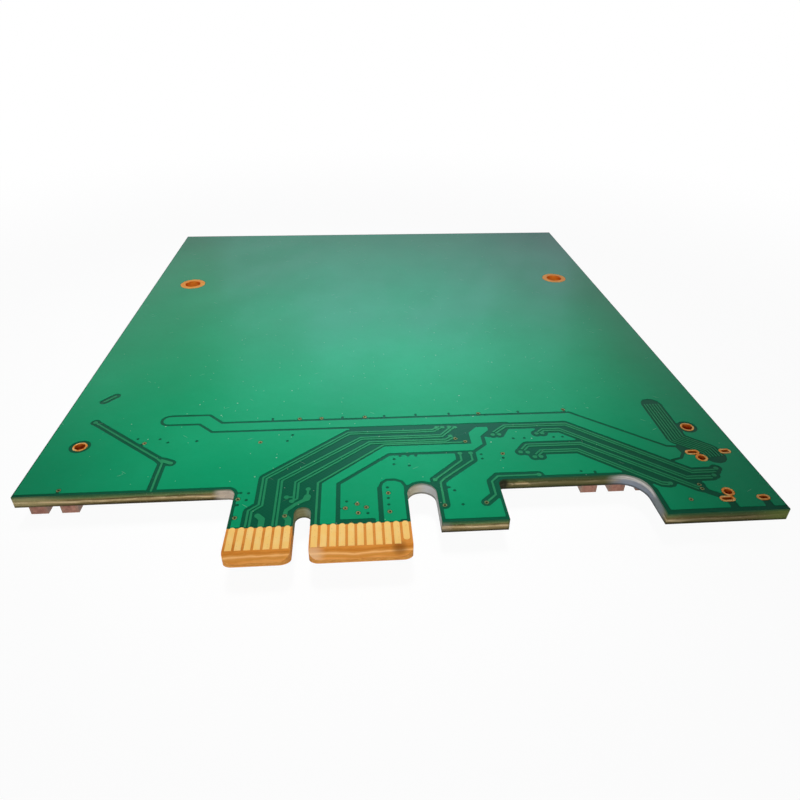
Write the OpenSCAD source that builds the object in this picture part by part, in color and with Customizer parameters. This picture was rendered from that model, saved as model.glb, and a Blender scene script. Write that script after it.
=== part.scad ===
// PCI Express x1 adapter card for a graphics output, lying on its components
// with the solder side up. Every plan position is measured from the middle of
// the key notch (x = 0) and the lower ends of the contacts (y = 0).

/* [Board outline] */
// Width of the board, from side to side
board_w = 90; // [86:0.5:100]
// Thickness of the laminate
board_t = 1.6; // [1.2:0.1:2]
// From the key notch to the left side
key_from_left = 33.85; // [32:0.05:36]
// From the contacts' lower ends to the rear edge
rear_y = 105.7; // [104:0.1:110]
// Height of the stepped front edge either side of the edge tab
shoulder_y = 10; // [9.6:0.05:10.3]

/* [Edge tab] */
// From the key notch to the tab's left side
tab_left = 8.15; // [8.05:0.05:8.4]
// From the key notch to the tab's right side
tab_right = 12.15; // [12.05:0.05:12.3]
// How far the tab's tip passes the contacts' lower ends
tip_len = 1.33; // [1.1:0.01:1.8]
// Thickness left at the bevelled tip
tip_t = 0.5; // [0.3:0.05:1]
// Corner radius at the tab's tip
tip_r = 1.2; // [0.5:0.1:1.3]
// Width of the key notch
key_w = 1.9; // [1.7:0.05:2]
// Height of the key notch's round top
key_top = 6.35; // [5.5:0.05:6.6]
// Corner radius where the left front edge meets the tab
left_corner_r = 1; // [0.5:0.1:2]

/* [Hook tab and bracket lobe] */
// Width of the round-topped slot between the edge tab and the hook tab
slot_w = 3.5; // [3:0.1:3.6]
// Height of that slot's round top
slot_top = 9.75; // [9.2:0.05:9.9]
// Width of the hook tab
hook_w = 7.7; // [7.5:0.05:7.8]
// Lower end of the hook tab
hook_y = 3; // [2.8:0.05:3.1]
// Corner radius where the hook tab meets the recess
hook_corner_r = 0.9; // [0.5:0.1:2]
// Width of the lobe beside the bracket
lobe_w = 14.55; // [14.4:0.05:14.9]
// Lower end of the lobe
lobe_y = 2.76; // [2.5:0.02:3]
// Radius in the recess where it meets the lobe
lobe_corner_r = 3; // [2:0.1:4]

/* [Contacts] */
// Spacing of the contacts
contact_pitch = 1; // [0.98:0.01:1.02]
// Width of one contact
contact_w = 0.7; // [0.6:0.01:0.8]
// Length of a contact
contact_len = 3.43; // [3.2:0.01:3.5]
// How much the presence contact is cut back at its lower end
presence_setback = 0.55; // [0.3:0.05:1]
// Contacts left of the key notch
contacts_left = 7; // [7:7]
// Contacts right of the key notch
contacts_right = 11; // [11:11]

/* [Copper] */
// Thickness of the copper and of the pads
copper_t = 0.05; // [0.03:0.01:0.1]
// Bare margin between the copper fields and the board's routed edges
edge_margin = 0.4; // [0.3:0.05:0.5]
// Bare margin beside the board's two long sides
side_margin = 0.15; // [0.1:0.05:0.3]
// Width of a dark line that parts two copper fields
line_w = 0.42; // [0.35:0.01:0.5]
// Width of a signal trace
trace_w = 0.26; // [0.18:0.01:0.28]
// Spacing of the two traces in a pair
pair_pitch = 0.42; // [0.4:0.01:0.5]
// Bare gap beside a trace or a pair
trace_gap = 0.44; // [0.38:0.01:0.5]
// Width of a trace in the right-hand bundle
bundle_trace_w = 0.18; // [0.15:0.01:0.24]
// Spacing of the traces in the right-hand bundle
bundle_pitch = 0.42; // [0.4:0.01:0.45]
// Diameter of the pad at the end of a trace
pad_d = 0.62; // [0.55:0.01:0.66]
// Radius that rounds the corners of the copper fields
field_round = 0.15; // [0.1:0.01:0.2]

/* [Vias] */
// Outer diameter of the copper ring round a via
via_ring_d = 0.52; // [0.48:0.01:0.6]
// Diameter of the drilled hole
via_drill_d = 0.42; // [0.4:0.01:0.46]
// Diameter left inside the plating
via_bore_d = 0.26; // [0.2:0.01:0.34]
// Diameter of the dimple over a via that the mask covers
dimple_d = 0.4; // [0.2:0.01:0.44]

/* [Mounting holes] */
// Distance of the rear holes from the board's sides
rear_hole_inset = 7.55; // [6:0.05:9]
// Distance of the rear holes from the rear edge
rear_hole_back = 31; // [28:0.1:34]
// Bore of the rear holes
rear_hole_d = 3; // [2.5:0.1:3.4]
// Diameter of the copper ring round a rear hole
rear_ring_d = 4.8; // [4.4:0.1:5.4]
// Distance of the front holes from the board's sides
front_hole_inset = 4.5; // [4:0.05:5]
// Height of the front holes above the contacts' lower ends
front_hole_y = 19.5; // [19:0.1:20.5]
// Bore of the front holes
front_hole_d = 1.35; // [1:0.05:1.4]
// Diameter of the copper ring round a front hole
front_ring_d = 1.8; // [1.8:0.05:2.3]
// Thickness of the plating in the mounting holes
plating_t = 0.15; // [0.1:0.01:0.2]

/* [Connector footprint] */
// Distance of the outer shell slots from the board's right side
shell_outer_inset = 2.05; // [1.9:0.05:2.3]
// Spacing of the shell slots, front to rear
shell_span = 9; // [8.8:0.1:9.2]
// Distance between the inner and the outer shell slots
shell_depth = 4.4; // [4.2:0.05:4.6]
// Height of the lower shell slots
shell_low_y = 4.9; // [4.8:0.05:5]
// Length of an inner shell slot's bore
shell_slot_len = 1.3; // [1.1:0.05:1.4]
// Length of an outer shell slot's bore
shell_outer_len = 1.05; // [0.9:0.05:1.4]
// Width of a shell slot's bore
shell_slot_w = 0.45; // [0.4:0.05:0.6]
// Width of the copper ring round a shell slot or a peg hole
shell_ring = 0.27; // [0.2:0.01:0.36]
// Bore of the two peg holes
peg_hole_d = 0.95; // [0.8:0.05:1]
// Distance of the peg holes from the board's right side
peg_inset = 5.75; // [5.65:0.05:5.85]
// Spacing of the peg holes
peg_span = 6.6; // [6.5:0.05:6.7]
// Number of signal pads
signal_pads = 18; // [10:18]
// Spacing of the signal pads
signal_pitch = 0.4; // [0.35:0.01:0.42]

/* [Edge capacitors] */
// Length of an edge capacitor
edge_cap_w = 2; // [1.8:0.05:2.1]
// Depth of an edge capacitor, front to rear
edge_cap_d = 1.25; // [1:0.05:1.4]
// Height of an edge capacitor
edge_cap_h = 1.25; // [0.8:0.05:1.4]
// How far the edge capacitors stand back from the front edge
edge_cap_back = 0.25; // [0.1:0.05:0.5]

/* [Display controller] */
// Width of the controller's square body
controller_w = 12; // [11:0.5:13]
// Height of the controller above the board
controller_h = 1.5; // [1.2:0.1:2]
// Leads on each of the controller's sides
controller_leads_side = 20; // [12:20]
// Spacing of the controller's leads
controller_pitch = 0.5; // [0.48:0.01:0.5]

/* [Memory] */
// Length of the memory chip
memory_l = 22.2; // [21:0.1:24]
// Depth of the memory chip's body
memory_d = 10.2; // [9:0.1:11]
// Height of the memory chip above the board
memory_h = 1.2; // [1:0.1:1.5]
// Leads along each long side
memory_leads_side = 27; // [16:27]
// Spacing of the memory chip's leads
memory_pitch = 0.8; // [0.75:0.01:0.8]
// Depth of the controller-to-memory gap between lead tips
memory_gap = 4; // [3.4:0.1:6]

/* [Power stages] */
// Width of a power inductor
inductor_w = 6; // [5:0.1:6.6]
// Height of a power inductor, the tallest piece on the board
inductor_h = 3; // [2.9:0.1:4]
// Length of a bulk capacitor
bulk_l = 7.3; // [6:0.1:7.6]
// Depth of a bulk capacitor
bulk_d = 4.3; // [3.5:0.1:5]
// Height of a bulk capacitor
bulk_h = 2.4; // [1.8:0.1:2.8]
// Gap between the neighbours in a power stage
stage_gap = 1.2; // [1:0.1:2]

/* [Small parts] */
// Length of a small ceramic capacitor or resistor
small_l = 1.6; // [1.4:0.05:1.7]
// Depth of a small ceramic capacitor or resistor
small_d = 0.8; // [0.6:0.05:0.9]
// Height of a small ceramic capacitor
small_cap_h = 0.8; // [0.5:0.05:1]
// Height of a small resistor
small_res_h = 0.5; // [0.35:0.05:0.7]
// Spacing of small parts that stand in a row
small_pitch = 2; // [1.9:0.1:2.3]
// Length of the crystal
crystal_l = 5; // [3.2:0.1:5.4]
// Depth of the crystal
crystal_d = 3.2; // [2.5:0.1:3.4]
// Height of the crystal
crystal_h = 1.1; // [0.8:0.1:1.3]
// Length of the regulator's body
regulator_l = 6.5; // [6:0.1:7]
// Depth of the regulator's body
regulator_d = 3.5; // [3.2:0.1:4]
// Height of the regulator
regulator_h = 1.7; // [1.4:0.1:1.9]

/* [Hidden] */

// Circles smaller than a contact, and the round ends of copper lines
small_sides = 16;
run_sides = 12;
big_sides = 64;
dimple_sides = 8;
over = 1;

left_x = -key_from_left;
right_x = left_x + board_w;
tip_y = -tip_len;
slot_x = tab_right + slot_w / 2;
hook_left = tab_right + slot_w;
hook_right = hook_left + hook_w;
lobe_left = right_x - lobe_w;
centre_x = (left_x + right_x) / 2;
centre_y = (tip_y + rear_y) / 2;
// The board lies on its inductors: z = 0 is the surface that they stand on
board_low = inductor_h + copper_t;
board_high = board_low + board_t;

rear_hole_y = rear_y - rear_hole_back;
rear_holes = [[left_x + rear_hole_inset, rear_hole_y], [right_x - rear_hole_inset, rear_hole_y]];
front_holes = [[left_x + front_hole_inset, front_hole_y], [right_x - front_hole_inset, front_hole_y]];
shell_outer_x = right_x - shell_outer_inset;
shell_inner_x = shell_outer_x - shell_depth;
shell_high_y = shell_low_y + shell_span;
// Each shell slot's place and the length of its bore
shell_slots = [[shell_inner_x, shell_low_y, shell_slot_len], [shell_outer_x, shell_low_y, shell_outer_len],
    [shell_inner_x, shell_high_y, shell_slot_len], [shell_outer_x, shell_high_y, shell_outer_len]];
shell_mid_y = (shell_low_y + shell_high_y) / 2;
peg_x = right_x - peg_inset;
peg_holes = [[peg_x, shell_mid_y - peg_span / 2], [peg_x, shell_mid_y + peg_span / 2]];

// Vias whose copper is left bare
open_vias = [[-7.6, 8.1], [-7.5, 5], [-1.95, 5], [4.85, 5.85], [6.2, 6.5], [7.25, 5.9],
    [6.3, 5], [9.9, 8.2], [9.9, 5], [16.3, 5.7], [21.2, 5.9], [25, 15], [19.4, 18.6],
    [20.6, 17.9], [-6.3, 19.2], [-21.3, 19.8], [-1.5, 24.4], [1.5, 24.4], [7.5, 24.4],
    [23.5, 24.4], [35.8, 24.7], [-28.8, 10.9], [right_x - 10.85, 5], [right_x - 8.6, 6.8],
    [right_x - 8.6, 7.55]];

// Vias that the mask covers, seen as small dimples in the copper fields
covered_vias = [[-7.5, 7.1], [-6.6, 7.9], [-6.5, 9.1], [-7.4, 9.2], [5, 7], [7.4, 4.9], [9.85, 7.3],
    [9.85, 6.2], [9.85, 9.2], [11.8, 15.2], [12.8, 15.2], [13.8, 15.15], [11, 14.6], [10.9, 13.6],
    [12.8, 13.2], [22.2, 15], [22.2, 14.1], [24.9, 14.1], [27.1, 18.2], [28.6, 18.2], [32.6, 18.2],
    [33.8, 18.2], [18.4, 5.7], [17.2, 8.8], [17.8, 8.2], [34, 10.9], [35.7, 10.7], [-2.8, 19.3],
    [-2.2, 20.6], [-19.5, 20.6], [-18.3, 19.8], [-22.4, 20.8], [-14.6, 19.9], [4.4, 24.5],
    [10.2, 24.5], [14.6, 24.6], [19.3, 24.6], [29.2, 24.6], [-5.2, 24.6], [22.2, 19.4]];

// Middle lines of the pairs between the contacts and the controller
pair_1 = [[-5.95, contact_len], [-5.95, 6], [-4.87, 6.95], [-4.87, 11.8], [5.3, 20.6], [16.6, 20.6],
    [17.6, 21.25]];
pair_2 = [[-2.97, contact_len], [-2.97, 11.3], [6.9, 19.35], [17.6, 19.35], [19.3, 21.2]];
pair_3 = [[-0.95, 7.8], [-0.95, 10.75], [8, 18.3], [18.1, 18.3], [19, 18.95]];
pair_3_links = [[[-2, 8.15], [-1.17, 8.1]], [[-1.35, 7.4], [-0.73, 7.8]]];
clock_trace = [[1.55, contact_len], [1.55, 10.55], [9.8, 17.75], [19.9, 17.75], [20.6, 17.9]];

// Middle lines of the pairs between the controller and the display connector
pair_a = [[24.9, 19.7], [26.5, 21.12], [35, 21.12], [right_x - 8.3, 10.05], [right_x - 5.4, 10.05]];
pair_b = [[30.9, 19.4], [31.6, 19.95], [33.8, 19.95], [right_x - 9.5, 8.95], [right_x - 6.4, 8.95]];
pair_c = [[27.85, 15.7], [28.6, 16.6], [35.7, 16.6], [right_x - 8.95, 7]];
pair_d = [[29.4, 14.5], [30.1, 15.25], [34.9, 15.25], [right_x - 13, 8.1], [right_x - 12.3, 7.95]];
output_pairs = [pair_a, pair_b, pair_c, pair_d];
output_pads = [[24.55, 19.2], [25.4, 19.2], [30.5, 19.15], [31.3, 19.15], [27.4, 15.2], [28.3, 15.1],
    [29, 14.1], [29.8, 14.1], [right_x - 5, 10.5], [right_x - 5.9, 9.2], [right_x - 8.6, 7.55],
    [right_x - 8.6, 6.8], [right_x - 12, 8]];
input_pads = [[17.15, 21.3], [18, 21.3], [18.9, 21.3], [19.7, 21.2], [18.8, 19.2], [19.4, 18.6],
    [20.6, 17.9], [-2, 8.15], [-1.35, 7.4]];

// Single traces
reset_trace = [[19.5, 15.35], [19.5, 13.9], [15.7, 10.3]];
wake_trace = [[20.9, 15.35], [20.9, 13.9], [16.9, 10.5], [16.3, 9.8], [16.3, 5.7]];
hook_trace = [[21.2, 5.9], [22.55, 7.2], [22.55, 9.6], [23.45, 10.55], [28.6, 10.55]];
left_trace = [[-29.2, 25], [-18.7, 16.3], [-18, 15.5], [-18, shoulder_y + 0.2]];
left_stub = [[-18.2, 16], [-16.9, 15.4]];
mark = [[-29.7, 30.3], [-28.5, 31.8]];
single_traces = [reset_trace, wake_trace, hook_trace, left_trace];

// The supply strip starts at two contacts and ends in a round blob
strip_line = [[4, 0], [4, 10.2], [10.4, 15.65], [21.4, 15.65], [23.05, 17.1], [23.05, 18.9],
    [24.35, 20.2]];
strip_field = [[2.25, 2], [2.25, 10.6], [9.9, 17.35], [21.35, 17.35], [21.35, 19.8], [22.5, 21.05],
    [24.1, 21.05], [24.1, 20.3], [22.8, 18.9], [22.8, 17.2], [21.3, 15.9], [10.3, 15.9],
    [3.75, 10.3], [3.75, 2]];
controller_gap = [[16.5, 21.9], [27, 21.9], [27, 20.5], [25.9, 18.6], [23.9, 18.6], [23, 19],
    [21.3, 17.3], [18, 17.4]];

// The long field behind the traces, with a round left end
long_field_w = 2.2;
long_field_tip = [-19.2, 24.9];
long_field_line = concat([[right_x - 9.2, 15.4], [36.4, 24], [-12, 24], [-14, 26]],
    [for (a = [90 : 22.5 : 270]) long_field_tip + long_field_w / 2 * [cos(a), sin(a)]],
    [[-15, 23.8], [-13, 21.87], [27, 21.87]]);
long_field_end = [[right_x - 9.7, 12.45], [right_x - 8.4, 12.8], [right_x - 7.7, 13.8],
    [right_x - 8, 15.2], [right_x - 9.2, 15.4]];

// The right-hand bundle runs down to the display connector
bundle_line = [[right_x - 7.1, 25.4], [right_x - 7.1, 16.9], [right_x - 4.1, 14.3],
    [right_x - 3.9, 12.9]];
bundle_traces = 6;

// Copper between the key notch and the contacts
key_body_w = 0.85;
key_pad = [0.45, 9.45];
key_body = [[0.42, 8.1], [0.32, 7.75]];
key_tail = [[0.2, 7.6], [-0.9, 6.85], [-1.85, 5.9], [-1.95, 5.1]];
key_stub = [[-1.95, 5], [-1.5, 4.4], [-1.5, 2.9]];
ground_stub = [[-5, 5.2], [-4.45, 4.6], [-4.45, 2.9]];
low_island_line = [[4, 3.78], [8, 3.78]];
low_island_arch = [[8.9, 2.4], [8.9, 9.2], [9.2, 10.1], [9.8, 10.6], [10.8, 10.6], [11.6, 10.2],
    [12, 9.4], [12, 3.5], [11.2, 3.5]];
strip_slit = [[2.95, 2.8], [2.95, 4.1]];
// Small bare patches between the pairs' vias, at the end of the long field and round the footprint
bare_spots = [[29.1, 15.6], [right_x - 7.45, 14.85]];
lobe_gaps = [[[right_x - 8.2, 6.3], [right_x - 6.9, 5.4]], [[shell_inner_x + 0.2, shell_low_y],
    [shell_inner_x + 0.2, lobe_y]], [[shell_outer_x, shell_low_y], [shell_outer_x, lobe_y]]];
lobe_margin = [[lobe_left, lobe_y], [lobe_left, 7]];

// Component side
lead_t = 0.15;
pad_over = 0.15;
controller_x = 24.5;
controller_y = 33;
lead_reach = 1;
flat_lead_reach = 0.75;
lead_foot = 0.45;
stand_off = 0.1;
memory_y = controller_y + controller_w / 2 + lead_reach + memory_gap + flat_lead_reach + memory_d / 2;
flash_pos = [2.5, 36];
flash_l = 4.9;
flash_d = 3.9;
flash_h = 1.7;
flash_pitch = 1.27;
crystal_pos = [6, 28.5];
regulator_pos = [-12, 15];
stages = [[-14, 33], [44, 34], [7, 92]];
converter_l = 2.9;
converter_d = 1.6;
converter_h = 1.1;
converter_pitch = 0.95;
inductor_pad = 1.6;
protection_x = right_x - 12.95;
protection_pos = [[protection_x, 14.2], [protection_x, 18.2]];
pin_mark_inset = 1.4;
small_mark_inset = 0.8;
cap_front_y = shoulder_y + edge_cap_back + edge_cap_d / 2;
edge_cap_xs = [left_x + 2.4, left_x + 5.95, lobe_left - 6.4, lobe_left - 2.8, lobe_left + 0.7];
// Rows of small parts: the first part, the count and the step to the next
small_gap = 2;
beside_controller = controller_w / 2 + lead_reach + small_gap;
cap_rows = [
    [[controller_x - 7, controller_y + controller_w / 2 + lead_reach + memory_gap / 2], 8, [small_pitch, 0]],
    [[controller_x + beside_controller, controller_y - 6], 5, [0, small_pitch]],
    [[controller_x - beside_controller, controller_y - 6], 6, [0, small_pitch]],
    [[controller_x - 8, memory_y + memory_d / 2 + flat_lead_reach + small_gap], 9, [small_pitch, 0]],
    [[-18, 24], 5, [small_pitch, 0]]];
resistor_rows = [
    [[15, 13], 6, [small_pitch, 0]],
    [[-4, 13], 5, [small_pitch, 0]],
    [[-4, 17], 5, [small_pitch, 0]],
    [[protection_x - 5.7, 14], 5, [0, small_pitch]]];

// ---- Shared shapes ----

// Puts a plan drawing on the solder side
module on_solder_side(t = copper_t)
    translate([0, 0, board_high]) linear_extrude(t) children();

// Puts a plan drawing on the component side
module under_board(t = copper_t)
    translate([0, 0, board_low - t]) linear_extrude(t) children();

// Turns a component over, so that its foot meets the pads below the board
module mount_below(pos)
    translate([pos.x, pos.y, board_low - copper_t]) mirror([0, 0, 1]) children();

// Moves the drawing from the key notch to the middle of the board
module framed()
    translate([-centre_x, -centre_y, 0]) children();

// Concave corner fillet: dir points from the corner into the open side
module corner_fill(corner, dir, r)
    difference() {
        translate([corner.x + min(0, dir.x * r), corner.y + min(0, dir.y * r)]) square(r);
        translate(corner + dir * r) circle(r, $fn = big_sides);
    }

// Tab that hangs from the front edge, with rounded lower corners
module tab_plan(x0, x1, y0, r) {
    translate([x0, y0 + r]) square([x1 - x0, shoulder_y - y0 - r + over]);
    translate([x0 + r, y0]) square([x1 - x0 - 2 * r, r + over]);
    for (x = [x0 + r, x1 - r])
        translate([x, y0 + r]) circle(r, $fn = big_sides);
}

// Round-topped notch that opens downwards
module notch_plan(x, w, top, y0) {
    translate([x - w / 2, y0]) square([w, top - w / 2 - y0]);
    translate([x, top - w / 2]) circle(d = w, $fn = big_sides);
}

module outline_plan()
    difference() {
        union() {
            translate([left_x, shoulder_y]) square([board_w, rear_y - shoulder_y]);
            tab_plan(-tab_left, -key_w / 2, tip_y, tip_r);
            tab_plan(key_w / 2, tab_right, tip_y, tip_r);
            translate([-key_w, key_top - key_w]) square([2 * key_w, shoulder_y - key_top + key_w + over]);
            translate([hook_left, hook_y]) square([hook_w, shoulder_y - hook_y + over]);
            translate([lobe_left, lobe_y]) square([lobe_w, shoulder_y - lobe_y + over]);
            corner_fill([-tab_left, shoulder_y], [-1, -1], left_corner_r);
            corner_fill([hook_right, shoulder_y], [1, -1], hook_corner_r);
            corner_fill([lobe_left, shoulder_y], [-1, -1], lobe_corner_r);
            translate([tab_right - over, slot_top - slot_w]) square([slot_w + 2 * over,
                shoulder_y - slot_top + slot_w + over]);
        }
        notch_plan(0, key_w, key_top, tip_y - over);
        notch_plan(slot_x, slot_w, slot_top, tip_y - over);
    }

// Line of copper, or of bare board, with round ends
module run_plan(points, w)
    for (i = [1 : len(points) - 1])
        hull() {
            translate(points[i - 1]) circle(d = w, $fn = run_sides);
            translate(points[i]) circle(d = w, $fn = run_sides);
        }

module dots_plan(points, d)
    for (p = points)
        translate(p) circle(d = d, $fn = small_sides);

function unit(v) = v / norm(v);
function left_of(v) = [-v.y, v.x];
function heading(p, i) = unit(p[i] - p[i - 1]);
// The same line moved sideways by d, with its corners mitred
function lane(p, d) = [for (i = [0 : len(p) - 1])
    let (before = heading(p, max(i, 1)), after = heading(p, min(i + 1, len(p) - 1)))
    p[i] + d * (left_of(before) + left_of(after)) / (1 + before * after)];
function reversed(p) = [for (i = [len(p) - 1 : -1 : 0]) p[i]];

pair_w = pair_pitch + trace_w;
pair_clear = pair_w + 2 * trace_gap;

module pair_plan(points)
    for (side = [-1, 1])
        run_plan(lane(points, side * pair_pitch / 2), trace_w);

module bundle_plan()
    for (i = [0 : bundle_traces - 1])
        run_plan(lane(bundle_line, (i - (bundle_traces - 1) / 2) * bundle_pitch), bundle_trace_w);

// ---- Board ----

module bevel_cut(up)
    translate([-tab_left - over, 0, up ? board_high : board_low])
        mirror([0, 0, up ? 0 : 1])
            rotate([90, 0, 90])
                linear_extrude(tab_left + tab_right + over + slot_w / 2)
                    polygon([[0, 0], [tip_y, -(board_t - tip_t) / 2], [tip_y - over, -board_t / 2],
                        [tip_y - over, over], [0, over]]);

module drills(points, d)
    for (p = points)
        translate([p.x, p.y, board_low - over]) cylinder(h = board_t + 2 * over, d = d, $fn = big_sides);

module slot_plan(len, w) {
    square([len - w, w], center = true);
    for (side = [-1, 1])
        translate([side * (len - w) / 2, 0]) circle(d = w, $fn = small_sides * 2);
}

// A shell slot's plan at its place, widened all round
module shell_slot_plan(slot, wider)
    translate([slot.x, slot.y]) slot_plan(slot.z + 2 * wider, shell_slot_w + 2 * wider);

module laminate() framed() color([0.05, 0.42, 0.28])
    difference() {
        translate([0, 0, board_low]) linear_extrude(board_t) outline_plan();
        bevel_cut(true);
        bevel_cut(false);
        drills(rear_holes, rear_hole_d + 2 * plating_t);
        drills(front_holes, front_hole_d + 2 * plating_t);
        drills(peg_holes, peg_hole_d + 2 * plating_t);
        drills(open_vias, via_drill_d);
        for (p = shell_slots)
            translate([0, 0, board_low - over])
                linear_extrude(board_t + 2 * over) shell_slot_plan(p, plating_t);
    }

// Plated hole with a ring of copper on the solder side, and on the component side too
// unless the copper there closes it
module barrel(p, bore, wall, ring_d, open_below = true)
    translate([p.x, p.y, board_low])
        difference() {
            union() {
                cylinder(h = board_t, d = bore + 2 * wall, $fn = big_sides);
                translate([0, 0, board_t]) cylinder(h = copper_t, d = ring_d, $fn = big_sides);
                if (open_below)
                    translate([0, 0, -copper_t]) cylinder(h = copper_t, d = ring_d, $fn = big_sides);
            }
            translate([0, 0, -over]) cylinder(h = board_t + 2 * over, d = bore, $fn = big_sides);
        }

module rear_hole_barrels() framed() color([0.85, 0.55, 0.25])
    for (p = rear_holes) barrel(p, rear_hole_d, plating_t, rear_ring_d);

module front_hole_barrels() framed() color([0.85, 0.5, 0.25])
    for (p = front_holes) barrel(p, front_hole_d, plating_t, front_ring_d);

// The rings of the peg holes stop where they meet those of the shell slots
module peg_hole_barrels() framed() color([0.85, 0.5, 0.25])
    difference() {
        for (p = peg_holes) barrel(p, peg_hole_d, plating_t, peg_hole_d + 2 * shell_ring);
        for (p = shell_slots)
            for (z = [board_low - over, board_high])
                translate([0, 0, z]) linear_extrude(over) shell_slot_plan(p, shell_ring);
    }

module via_barrels() framed() color([0.85, 0.5, 0.25])
    for (p = open_vias) barrel(p, via_bore_d, (via_drill_d - via_bore_d) / 2, via_ring_d, false);

module shell_slot_barrels() framed() color([0.85, 0.5, 0.25])
    for (p = shell_slots)
        translate([0, 0, board_low - copper_t])
            difference() {
                union() {
                    linear_extrude(board_t + 2 * copper_t) shell_slot_plan(p, plating_t);
                    for (z = [0, board_t + copper_t])
                        translate([0, 0, z]) linear_extrude(copper_t) shell_slot_plan(p, shell_ring);
                }
                translate([0, 0, -over])
                    linear_extrude(board_t + 2 * over + 2 * copper_t) shell_slot_plan(p, 0);
            }

// ---- Solder side ----

// Bare rings round everything that is drilled
module drilled_clearance(gap) {
    for (p = rear_holes)
        translate(p) circle(d = rear_ring_d + gap / 4, $fn = big_sides);
    for (p = front_holes)
        translate(p) circle(d = front_ring_d + 2 * gap, $fn = 2 * small_sides);
    for (p = peg_holes)
        translate(p) circle(d = peg_hole_d + 2 * shell_ring + gap / 4, $fn = 2 * small_sides);
    for (p = shell_slots)
        shell_slot_plan(p, shell_ring + gap / 8);
}

module solder_side_gaps() {
    dots_plan(open_vias, via_ring_d + trace_gap / 4);
    for (p = covered_vias)
        translate(p) circle(d = dimple_d, $fn = dimple_sides);
    dots_plan(bare_spots, 1);
    for (p = lobe_gaps)
        run_plan(p, 1);
    run_plan(lobe_margin, 2.8 * edge_margin);
    finger_zone_plan();
    run_plan(pair_1, pair_clear);
    run_plan(clock_trace, trace_w + 1.6 * trace_gap);
    polygon(concat(pair_1, reversed(clock_trace)));
    polygon(controller_gap);
    run_plan(strip_line, 1.3 * line_w);
    run_plan(low_island_line, 1.3 * line_w);
    run_plan(low_island_arch, line_w);
    run_plan([low_island_arch[0], low_island_arch[1]], 1.4 * line_w);
    run_plan(long_field_line, line_w);
    run_plan(long_field_end, line_w);
    for (p = output_pairs)
        run_plan(p, pair_clear);
    dots_plan(output_pads, pad_d + 2 * trace_gap);
    dots_plan([left_trace[0]], pad_d + 1.6 * trace_gap);
    for (p = [reset_trace, wake_trace, hook_trace])
        run_plan(p, trace_w + 2.4 * trace_gap);
    run_plan(left_trace, trace_w + 2 * trace_gap);
    run_plan(left_stub, trace_w + 2.4 * trace_gap);
    run_plan(mark, trace_w + 2.4 * trace_gap);
    run_plan(bundle_line, bundle_traces * bundle_pitch + trace_gap);
}

// Copper that stands inside the gaps
module key_copper_plan() {
    dots_plan([key_pad], pad_d);
    run_plan([key_pad, key_body[0]], trace_w);
    run_plan(key_body, key_body_w);
    run_plan(key_tail, 2 * trace_w);
    run_plan(key_stub, contact_w);
    run_plan(ground_stub, contact_w);
}

module finger_zone_plan()
    translate([left_x - over, tip_y - over]) square([board_w + 2 * over, contact_len - tip_y + over]);

// Where copper may lie: it comes closer to the long sides than to the other edges
module copper_area_plan() {
    offset(delta = -edge_margin) outline_plan();
    translate([left_x + side_margin, shoulder_y + edge_margin])
        square([board_w - 2 * side_margin, rear_y - shoulder_y - 2 * edge_margin]);
    translate([lobe_left + edge_margin, lobe_y + edge_margin])
        square([lobe_w - edge_margin - side_margin, shoulder_y - lobe_y]);
}

module solder_side_fields() framed() color([0.14, 0.61, 0.45])
    on_solder_side()
        offset(r = field_round, $fn = run_sides) offset(delta = -field_round)
            difference() {
                union() {
                    difference() {
                        copper_area_plan();
                        solder_side_gaps();
                    }
                    difference() {
                        polygon(strip_field);
                        run_plan(strip_slit, line_w);
                        finger_zone_plan();
                    }
                }
                drilled_clearance(trace_gap);
            }

module solder_side_traces() framed() color([0.2, 0.58, 0.42])
    on_solder_side()
        offset(delta = 0.001)
            difference() {
                union() {
                    for (p = [pair_1, pair_2, pair_3])
                        pair_plan(p);
                    for (p = pair_3_links)
                        run_plan(p, trace_w);
                    run_plan(clock_trace, trace_w);
                    for (p = output_pairs)
                        pair_plan(p);
                    for (p = single_traces)
                        run_plan(p, trace_w);
                    run_plan(left_stub, 2 * trace_w);
                    run_plan(mark, trace_w);
                    bundle_plan();
                    dots_plan(output_pads, pad_d);
                    dots_plan(input_pads, pad_d);
                    dots_plan([reset_trace[0], reset_trace[2], wake_trace[0], hook_trace[4],
                        left_trace[0]], pad_d);
                    key_copper_plan();
                }
                finger_zone_plan();
                dots_plan(open_vias, via_ring_d + trace_gap / 4);
                drilled_clearance(trace_gap);
            }

// Contact with round ends, from its lower end upwards
module contact_plan(x, y0) {
    translate([x - contact_w / 2, y0 + contact_w / 2]) square([contact_w, contact_len - y0 - contact_w]);
    translate([x, contact_len - contact_w / 2]) circle(d = contact_w, $fn = small_sides * 2);
    if (y0 > 0)
        translate([x, y0 + contact_w / 2]) circle(d = contact_w, $fn = small_sides * 2);
    else
        translate([x - contact_w / 2, 0]) square([contact_w, contact_w]);
}

module contacts_plan(presence) {
    for (i = [1 : contacts_left])
        contact_plan(-(i + 0.5) * contact_pitch, i == contacts_left && presence < 0 ? presence_setback : 0);
    for (i = [1 : contacts_right])
        contact_plan((i + 0.5) * contact_pitch, i == contacts_right && presence > 0 ? presence_setback : 0);
}

module solder_side_contacts() framed() color([1, 0.8, 0.42])
    on_solder_side() contacts_plan(1);

module component_side_contacts() framed() color([1, 0.8, 0.42])
    under_board() contacts_plan(-1);

// ---- Component side: shared pieces ----

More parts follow.
